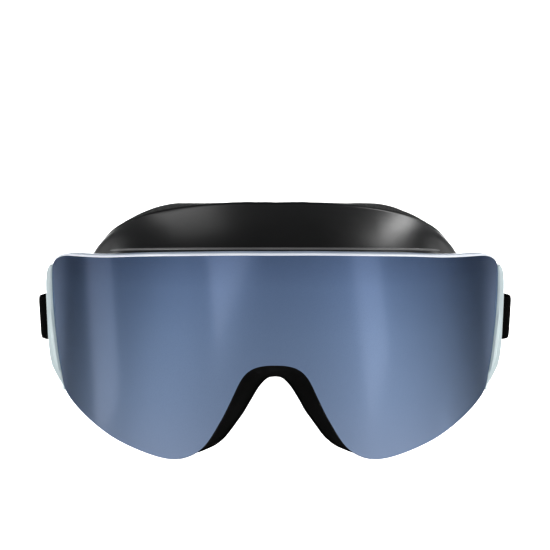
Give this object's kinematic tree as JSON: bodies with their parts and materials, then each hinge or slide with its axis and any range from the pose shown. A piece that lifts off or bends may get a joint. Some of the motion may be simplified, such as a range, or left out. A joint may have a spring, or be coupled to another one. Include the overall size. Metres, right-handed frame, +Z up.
{
  "type": "ski goggles",
  "caption": "Rimless ski goggles with a cylindrical blue mirror shield lens, magnetic lens seat, soft black face frame, layered face foam, pale side arms and an adjustable head strap.",
  "frame": {"origin": "middle of the face seal: on the forehead line of the foam's face, on the centreline, at eye height", "axes": "+X to the right of the picture, +Y backwards into the head, +Z up as worn; the lens faces -Y"},
  "size_m": [0.1934, 0.2272, 0.1012],
  "materials": {
    "lens_mirror": "blue mirror-coated polycarbonate",
    "lens_edge": "pale translucent moulded edge ring",
    "spacer_foam": "closed-cell spacer tape",
    "inner_lens_clear": "clear anti-fog inner lens",
    "magnet": "nickel-plated magnets",
    "seat_plastic": "rigid black lens seat",
    "frame_tpu": "satin black flexible frame",
    "foam_dark": "dense open-cell foam",
    "foam_soft": "soft face foam",
    "fleece": "black fleece lining",
    "arm_plastic": "pale mint-grey moulded plastic",
    "screw_steel": "small steel screws",
    "pin_steel": "steel pin",
    "webbing": "black woven webbing",
    "yoke_plastic": "black moulded yoke",
    "strap_elastic": "black woven elastic",
    "grip_silicone": "silicone grip lines",
    "slider_plastic": "black strap adjuster",
    "clip_plastic": "black rear clasp"
  },
  "bodies": {
    "frame": {"face_frame": "frame_tpu", "lens_seat": "seat_plastic", "frame_magnets": "magnet", "foam_base": "foam_dark", "foam_face": "foam_soft", "foam_lining": "fleece", "side_arm_left": "arm_plastic", "side_arm_right": "arm_plastic", "side_screws": "screw_steel", "strap_pin_left": "pin_steel", "strap_pin_right": "pin_steel"},
    "lens": {"outer_lens": "lens_mirror", "lens_carrier": "lens_edge", "lens_seal": "spacer_foam", "inner_lens": "inner_lens_clear", "lens_magnets": "magnet"},
    "strap_left": {"strap_tab_left": "webbing", "strap_yoke_left": "yoke_plastic", "strap_left": "strap_elastic", "strap_tail_left": "strap_elastic", "strap_grips_left": "grip_silicone", "clip_left": "clip_plastic", "clip_magnets_left": "magnet"},
    "strap_right": {"strap_tab_right": "webbing", "strap_yoke_right": "yoke_plastic", "strap_right": "strap_elastic", "strap_tail_right": "strap_elastic", "strap_grips_right": "grip_silicone", "clip_right": "clip_plastic", "clip_magnets_right": "magnet"},
    "slider_left": {"slider_left": "slider_plastic"},
    "slider_right": {"slider_right": "slider_plastic"}
  },
  "joints": [
    {"name": "lens_release", "type": "slide", "parent": "frame", "child": "lens", "axis": [0, -1, 0], "range_m": [0, 0.05]},
    {"name": "strap_swing_right", "type": "hinge", "parent": "frame", "child": "strap_right", "pos_m": [0.0913, 0.01193, 0.00242], "axis": [0, 0.2924, -0.9563], "range_deg": [0, 55]},
    {"name": "strap_swing_left", "type": "hinge", "parent": "frame", "child": "strap_left", "pos_m": [-0.0913, 0.01193, 0.00242], "axis": [0, -0.2924, 0.9563], "range_deg": [0, 55]},
    {"name": "slider_right", "type": "slide", "parent": "strap_right", "child": "slider_right", "axis": [0, 1, 0], "range_m": [-0.006, 0.018]},
    {"name": "slider_left", "type": "slide", "parent": "strap_left", "child": "slider_left", "axis": [0, 1, 0], "range_m": [-0.006, 0.018]}
  ]
}
